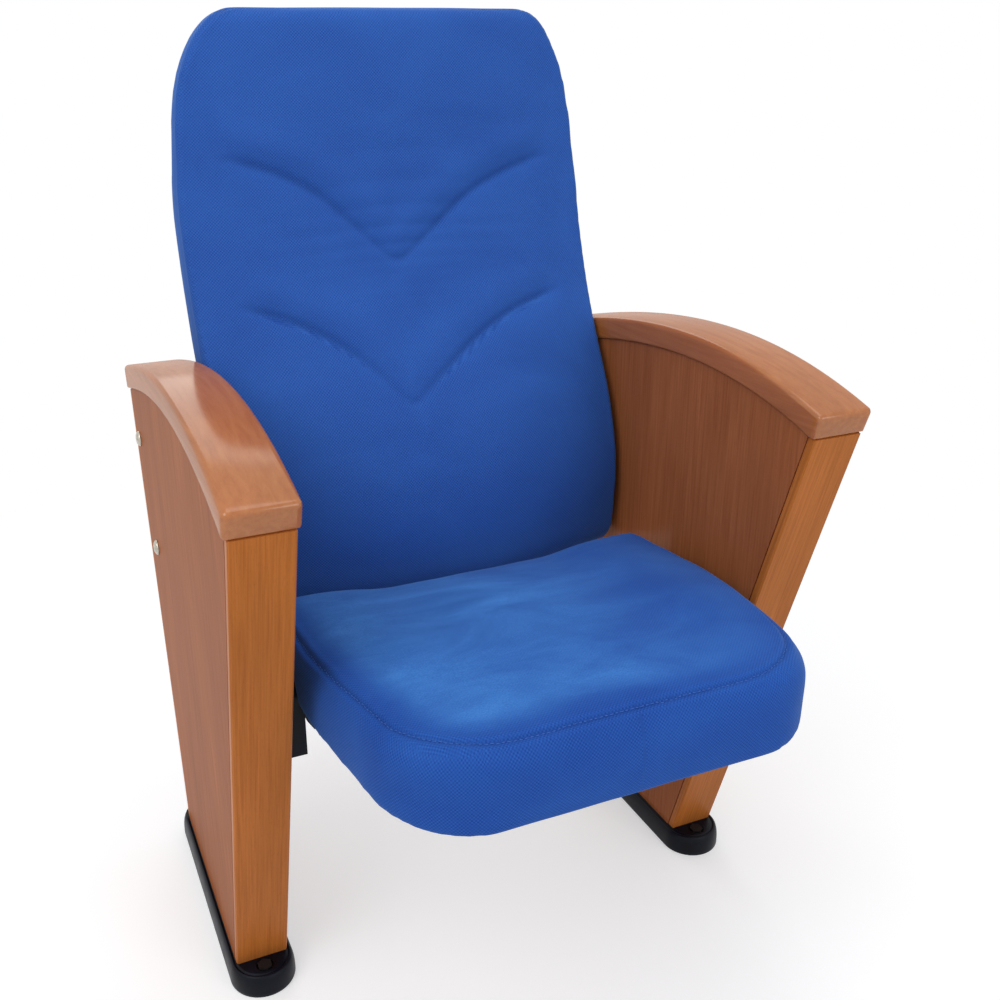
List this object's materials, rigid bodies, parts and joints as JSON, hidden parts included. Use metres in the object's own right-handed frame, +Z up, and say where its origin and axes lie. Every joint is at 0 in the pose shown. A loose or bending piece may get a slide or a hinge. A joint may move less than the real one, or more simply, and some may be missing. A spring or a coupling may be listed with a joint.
{
  "type": "tip up auditorium seat",
  "caption": "Auditorium seat with a tall padded back, a padded seat that tips up on side pivots, wedge-shaped wooden side panels, arched armrests and plastic shoes.",
  "frame": {"origin": "on the floor under the middle of the seat's bounding box", "axes": "+Z up, the sitter faces -Y, +X to the sitter's left"},
  "size_m": [0.643, 0.668, 1.014],
  "materials": {
    "fabric": "blue woven upholstery fabric, matt",
    "veneered_wood": "red-brown veneer, satin lacquer",
    "lacquered_wood": "solid beech stained red-brown, glossy lacquer",
    "plywood": "moulded beech plywood, satin",
    "black_plastic": "moulded plastic, near-black blue, semi-gloss",
    "black_steel": "black powder-coated steel",
    "bright_steel": "zinc-plated steel",
    "rubber": "black rubber"
  },
  "bodies": {
    "frame": {"back_cushion": "fabric", "inner_panel_left": "veneered_wood", "inner_panel_right": "veneered_wood", "outer_panel_left": "veneered_wood", "outer_panel_right": "veneered_wood", "front_strip_left": "veneered_wood", "front_strip_right": "veneered_wood", "rear_strip_left": "veneered_wood", "rear_strip_right": "veneered_wood", "armrest_left": "lacquered_wood", "armrest_right": "lacquered_wood", "back_shell": "plywood", "shoe_left": "black_plastic", "shoe_right": "black_plastic", "hinge_housing_left": "black_plastic", "hinge_housing_right": "black_plastic", "leg_left": "black_steel", "leg_right": "black_steel", "floor_bolt_front_left": "black_steel", "floor_bolt_front_right": "black_steel", "floor_bolt_rear_left": "black_steel", "floor_bolt_rear_right": "black_steel", "back_bracket_left": "black_steel", "back_bracket_right": "black_steel", "shell_screw_upper_left": "black_steel", "shell_screw_upper_right": "black_steel", "shell_screw_lower_left": "black_steel", "shell_screw_lower_right": "black_steel", "hinge_bolt_upper_left": "black_steel", "hinge_bolt_upper_right": "black_steel", "hinge_bolt_lower_left": "black_steel", "hinge_bolt_lower_right": "black_steel", "hinge_plate_left": "black_steel", "hinge_plate_right": "black_steel", "bracket_bolt_upper_left": "bright_steel", "bracket_bolt_upper_right": "bright_steel", "bracket_bolt_lower_left": "bright_steel", "bracket_bolt_lower_right": "bright_steel", "pivot_pin_left": "bright_steel", "pivot_pin_right": "bright_steel", "return_spring_left": "bright_steel", "return_spring_right": "bright_steel", "down_stop_left": "rubber", "down_stop_right": "rubber", "up_stop_left": "rubber", "up_stop_right": "rubber"},
    "seat": {"seat_cushion": "fabric", "seat_board": "plywood", "seat_rail_front": "black_steel", "seat_rail_rear": "black_steel", "board_screw_front_left": "black_steel", "board_screw_front_right": "black_steel", "board_screw_rear_left": "black_steel", "board_screw_rear_right": "black_steel", "seat_arm_left": "black_steel", "seat_arm_right": "black_steel", "pivot_bush_left": "black_plastic", "pivot_bush_right": "black_plastic"}
  },
  "joints": [
    {"name": "seat_tip", "type": "hinge", "parent": "frame", "child": "seat", "pos_m": [0, -0.035, 0.366], "axis": [-1, 0, 0], "range_deg": [0, 75]}
  ]
}
